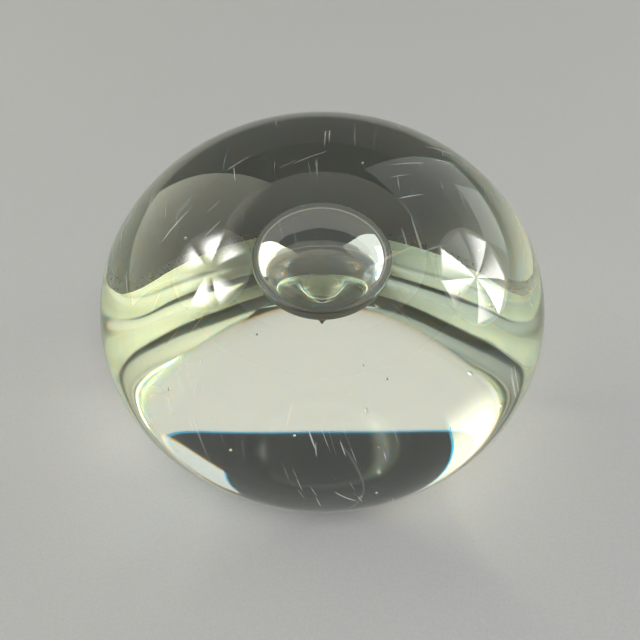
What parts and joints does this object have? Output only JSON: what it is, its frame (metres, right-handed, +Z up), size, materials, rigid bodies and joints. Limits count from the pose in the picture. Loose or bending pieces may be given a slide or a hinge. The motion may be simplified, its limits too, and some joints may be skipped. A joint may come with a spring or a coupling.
{
  "type": "glass paperweight",
  "caption": "Low domed clear glass paperweight with a flat ground base and a large sealed air bubble, smooth above and drawn to a point below.",
  "frame": {"origin": "centre of the flat base, which is the bottom centre of the object's box", "axes": "+Z up along the axis of revolution, and X and Y in the plane of the base, where every direction is alike"},
  "size_m": [0.09, 0.09, 0.0612],
  "materials": {
    "clear_glass": "clear with a faint green-grey tint, fire-polished outside, base ground flat and polished, fine handling scratches"
  },
  "bodies": {
    "root": {"core_gather": "clear_glass", "casing_gather": "clear_glass"}
  },
  "joints": []
}
